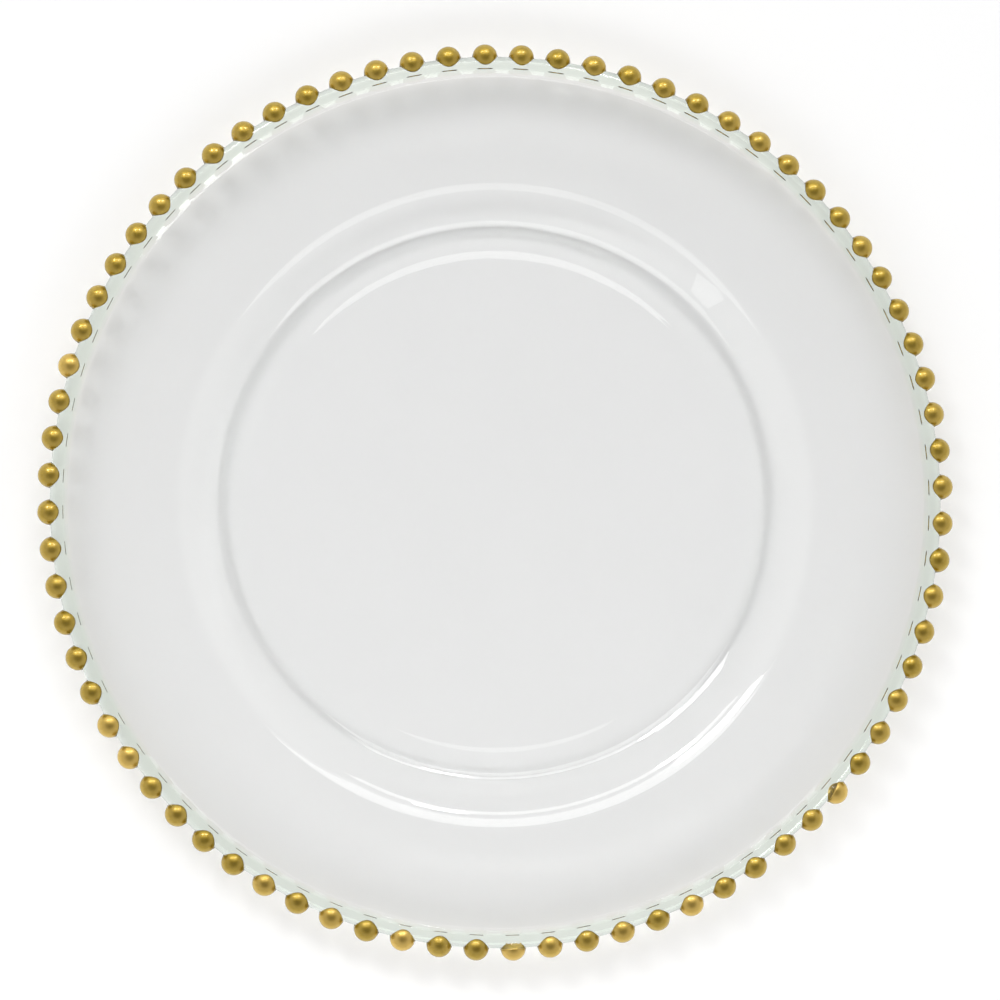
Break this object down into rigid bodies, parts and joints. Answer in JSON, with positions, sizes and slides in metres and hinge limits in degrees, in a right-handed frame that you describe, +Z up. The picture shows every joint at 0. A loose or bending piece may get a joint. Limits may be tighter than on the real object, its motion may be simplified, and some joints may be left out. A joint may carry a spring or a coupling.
{
  "type": "charger plate",
  "caption": "Round clear glass charger plate with a shallow well, a wide flange and a ring of gilded glass beads round its rim.",
  "frame": {"origin": "on the table under the plate's centre: the bottom centre of the bounding box", "axes": "+Z up along the plate's axis; one bead lies on +X, and +Y is away from the person the plate is laid for"},
  "size_m": [0.3302, 0.3302, 0.0193],
  "materials": {
    "clear_glass": "clear pressed soda-lime glass with a faint green tint",
    "bead_glass": "clear pressed soda-lime glass with a faint green tint",
    "gilding": "satin gold lustre, a little uneven from bead to bead"
  },
  "bodies": {
    "root": {"glass_plate": "clear_glass", "bead_cores": "bead_glass", "gold_coats": "gilding"}
  },
  "joints": []
}
